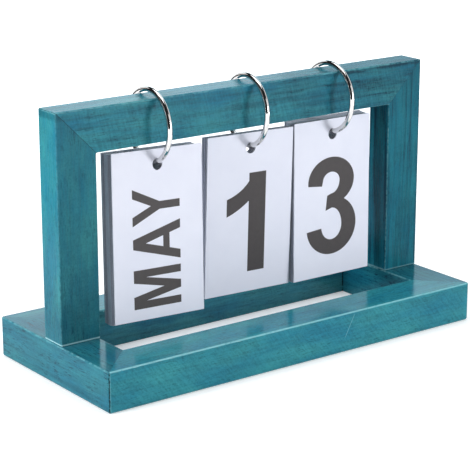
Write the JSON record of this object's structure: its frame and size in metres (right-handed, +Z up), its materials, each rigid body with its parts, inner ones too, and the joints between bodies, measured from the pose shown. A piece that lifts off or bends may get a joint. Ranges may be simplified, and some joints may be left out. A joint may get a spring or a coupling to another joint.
{
  "type": "perpetual desk calendar",
  "caption": "Timber desk stand with an open mitred base and an upright frame whose top rail carries hinged book rings of hanging month and day cards.",
  "frame": {"origin": "centre of the base's underside, on the surface it stands on", "axes": "+X to the right along the rail seen from the front, -Y to the front, +Z up"},
  "size_m": [0.24, 0.1054, 0.1472],
  "materials": {
    "stained_wood": "satin stain",
    "zinc_steel": "zinc plated",
    "nickel_wire": "bright nickel",
    "coated_card": "coated card"
  },
  "bodies": {
    "stand": {"top_rail": "stained_wood", "left_post": "stained_wood", "right_post": "stained_wood", "base_front_rail": "stained_wood", "base_back_rail": "stained_wood", "base_left_rail": "stained_wood", "base_right_rail": "stained_wood", "post_screws": "zinc_steel", "upright_brads": "zinc_steel", "base_brads": "zinc_steel"},
    "month_ring_back": {"month_ring_back_half": "nickel_wire", "month_ring_rivet": "nickel_wire"},
    "month_ring_front": {"month_ring_front_half": "nickel_wire"},
    "month_card_may": {"month_card_may": "coated_card"},
    "month_card_june": {"month_card_june": "coated_card"},
    "month_card_july": {"month_card_july": "coated_card"},
    "month_card_august": {"month_card_august": "coated_card"},
    "month_card_september": {"month_card_september": "coated_card"},
    "month_card_october": {"month_card_october": "coated_card"},
    "month_card_november": {"month_card_november": "coated_card"},
    "month_card_december": {"month_card_december": "coated_card"},
    "month_card_january": {"month_card_january": "coated_card"},
    "month_card_february": {"month_card_february": "coated_card"},
    "month_card_march": {"month_card_march": "coated_card"},
    "month_card_april": {"month_card_april": "coated_card"},
    "tens_ring_back": {"tens_ring_back_half": "nickel_wire", "tens_ring_rivet": "nickel_wire"},
    "tens_ring_front": {"tens_ring_front_half": "nickel_wire"},
    "tens_card_1": {"tens_card_1": "coated_card"},
    "tens_card_2": {"tens_card_2": "coated_card"},
    "tens_card_3": {"tens_card_3": "coated_card"},
    "tens_card_0": {"tens_card_0": "coated_card"},
    "units_ring_back": {"units_ring_back_half": "nickel_wire", "units_ring_rivet": "nickel_wire"},
    "units_ring_front": {"units_ring_front_half": "nickel_wire"},
    "units_card_3": {"units_card_3": "coated_card"},
    "units_card_4": {"units_card_4": "coated_card"},
    "units_card_5": {"units_card_5": "coated_card"},
    "units_card_6": {"units_card_6": "coated_card"},
    "units_card_7": {"units_card_7": "coated_card"},
    "units_card_8": {"units_card_8": "coated_card"},
    "units_card_9": {"units_card_9": "coated_card"},
    "units_card_0": {"units_card_0": "coated_card"},
    "units_card_1": {"units_card_1": "coated_card"},
    "units_card_2": {"units_card_2": "coated_card"}
  },
  "joints": [
    {"name": "month_ring_slide", "type": "slide", "parent": "stand", "child": "month_ring_back", "axis": [1, 0, 0], "range_m": [-0.0066, 0.003]},
    {"name": "month_ring_opening", "type": "hinge", "parent": "month_ring_back", "child": "month_ring_front", "pos_m": [-0.05919, 0.00394, 0.10745], "axis": [0.9999, -0.0157, 0], "range_deg": [0, 45]},
    {"name": "month_card_may_turn", "type": "hinge", "parent": "month_card_june", "child": "month_card_may", "pos_m": [-0.05925, 0, 0.12683], "axis": [-0.9999, 0.0157, 0], "range_deg": [0, 70]},
    {"name": "month_card_june_turn", "type": "hinge", "parent": "month_card_july", "child": "month_card_june", "pos_m": [-0.05925, 0, 0.12683], "axis": [-0.9999, 0.0157, 0], "range_deg": [0, 6]},
    {"name": "month_card_july_turn", "type": "hinge", "parent": "month_card_august", "child": "month_card_july", "pos_m": [-0.05925, 0, 0.12683], "axis": [-0.9999, 0.0157, 0], "range_deg": [0, 1.5]},
    {"name": "month_card_august_turn", "type": "hinge", "parent": "month_card_september", "child": "month_card_august", "pos_m": [-0.05925, 0, 0.12683], "axis": [-0.9999, 0.0157, 0], "range_deg": [0, 1.5]},
    {"name": "month_card_september_turn", "type": "hinge", "parent": "month_card_october", "child": "month_card_september", "pos_m": [-0.05925, 0, 0.12683], "axis": [-0.9999, 0.0157, 0], "range_deg": [0, 1.5]},
    {"name": "month_card_october_turn", "type": "hinge", "parent": "month_card_november", "child": "month_card_october", "pos_m": [-0.05925, 0, 0.12683], "axis": [-0.9999, 0.0157, 0], "range_deg": [0, 1.5]},
    {"name": "month_card_november_turn", "type": "hinge", "parent": "month_card_december", "child": "month_card_november", "pos_m": [-0.05925, 0, 0.12683], "axis": [-0.9999, 0.0157, 0], "range_deg": [0, 1.5]},
    {"name": "month_card_december_turn", "type": "hinge", "parent": "month_card_january", "child": "month_card_december", "pos_m": [-0.05925, 0, 0.12683], "axis": [-0.9999, 0.0157, 0], "range_deg": [0, 1.5]},
    {"name": "month_card_january_turn", "type": "hinge", "parent": "month_ring_front", "child": "month_card_january", "pos_m": [-0.05925, 0, 0.12683], "axis": [-0.9999, 0.0157, 0], "range_deg": [-5, 5]},
    {"name": "month_card_february_turn", "type": "hinge", "parent": "month_card_january", "child": "month_card_february", "pos_m": [-0.05925, 0, 0.12683], "axis": [-0.9999, 0.0157, 0], "range_deg": [-1.5, 0]},
    {"name": "month_card_march_turn", "type": "hinge", "parent": "month_card_february", "child": "month_card_march", "pos_m": [-0.05925, 0, 0.12683], "axis": [-0.9999, 0.0157, 0], "range_deg": [-1.5, 0]},
    {"name": "month_card_april_turn", "type": "hinge", "parent": "month_card_march", "child": "month_card_april", "pos_m": [-0.05925, 0, 0.12683], "axis": [-0.9999, 0.0157, 0], "range_deg": [-80, 0]},
    {"name": "tens_ring_slide", "type": "slide", "parent": "stand", "child": "tens_ring_back", "axis": [1, 0, 0], "range_m": [-0.004, 0.0004]},
    {"name": "tens_ring_opening", "type": "hinge", "parent": "tens_ring_back", "child": "tens_ring_front", "pos_m": [0.00328, 0.00643, 0.10813], "axis": [0.999, -0.0436, 0], "range_deg": [0, 45]},
    {"name": "tens_card_1_turn", "type": "hinge", "parent": "tens_card_2", "child": "tens_card_1", "pos_m": [0.003, 0, 0.12683], "axis": [-0.999, 0.0436, 0], "range_deg": [0, 85]},
    {"name": "tens_card_2_turn", "type": "hinge", "parent": "tens_card_3", "child": "tens_card_2", "pos_m": [0.003, 0, 0.12683], "axis": [-0.999, 0.0436, 0], "range_deg": [0, 6]},
    {"name": "tens_card_3_turn", "type": "hinge", "parent": "tens_ring_front", "child": "tens_card_3", "pos_m": [0.003, 0, 0.12683], "axis": [-0.999, 0.0436, 0], "range_deg": [-5, 5]},
    {"name": "tens_card_0_turn", "type": "hinge", "parent": "tens_card_3", "child": "tens_card_0", "pos_m": [0.003, 0, 0.12683], "axis": [-0.999, 0.0436, 0], "range_deg": [-80, 0]},
    {"name": "units_ring_slide", "type": "slide", "parent": "stand", "child": "units_ring_back", "axis": [1, 0, 0], "range_m": [-0.0004, 0.0085]},
    {"name": "units_ring_opening", "type": "hinge", "parent": "units_ring_back", "child": "units_ring_front", "pos_m": [0.05899, 0.00897, 0.10921], "axis": [0.9994, 0.034, 0], "range_deg": [0, 45]},
    {"name": "units_card_3_turn", "type": "hinge", "parent": "units_card_4", "child": "units_card_3", "pos_m": [0.0593, 0, 0.12683], "axis": [-0.9994, -0.034, 0], "range_deg": [0, 75]},
    {"name": "units_card_4_turn", "type": "hinge", "parent": "units_card_5", "child": "units_card_4", "pos_m": [0.0593, 0, 0.12683], "axis": [-0.9994, -0.034, 0], "range_deg": [0, 6]},
    {"name": "units_card_5_turn", "type": "hinge", "parent": "units_card_6", "child": "units_card_5", "pos_m": [0.0593, 0, 0.12683], "axis": [-0.9994, -0.034, 0], "range_deg": [0, 1.5]},
    {"name": "units_card_6_turn", "type": "hinge", "parent": "units_card_7", "child": "units_card_6", "pos_m": [0.0593, 0, 0.12683], "axis": [-0.9994, -0.034, 0], "range_deg": [0, 1.5]},
    {"name": "units_card_7_turn", "type": "hinge", "parent": "units_ring_front", "child": "units_card_7", "pos_m": [0.0593, 0, 0.12683], "axis": [-0.9994, -0.034, 0], "range_deg": [-5, 5]},
    {"name": "units_card_8_turn", "type": "hinge", "parent": "units_card_7", "child": "units_card_8", "pos_m": [0.0593, 0, 0.12683], "axis": [-0.9994, -0.034, 0], "range_deg": [-1.5, 0]},
    {"name": "units_card_9_turn", "type": "hinge", "parent": "units_card_8", "child": "units_card_9", "pos_m": [0.0593, 0, 0.12683], "axis": [-0.9994, -0.034, 0], "range_deg": [-1.5, 0]},
    {"name": "units_card_0_turn", "type": "hinge", "parent": "units_card_9", "child": "units_card_0", "pos_m": [0.0593, 0, 0.12683], "axis": [-0.9994, -0.034, 0], "range_deg": [-1.5, 0]},
    {"name": "units_card_1_turn", "type": "hinge", "parent": "units_card_0", "child": "units_card_1", "pos_m": [0.0593, 0, 0.12683], "axis": [-0.9994, -0.034, 0], "range_deg": [-1.5, 0]},
    {"name": "units_card_2_turn", "type": "hinge", "parent": "units_card_1", "child": "units_card_2", "pos_m": [0.0593, 0, 0.12683], "axis": [-0.9994, -0.034, 0], "range_deg": [-80, 0]}
  ]
}
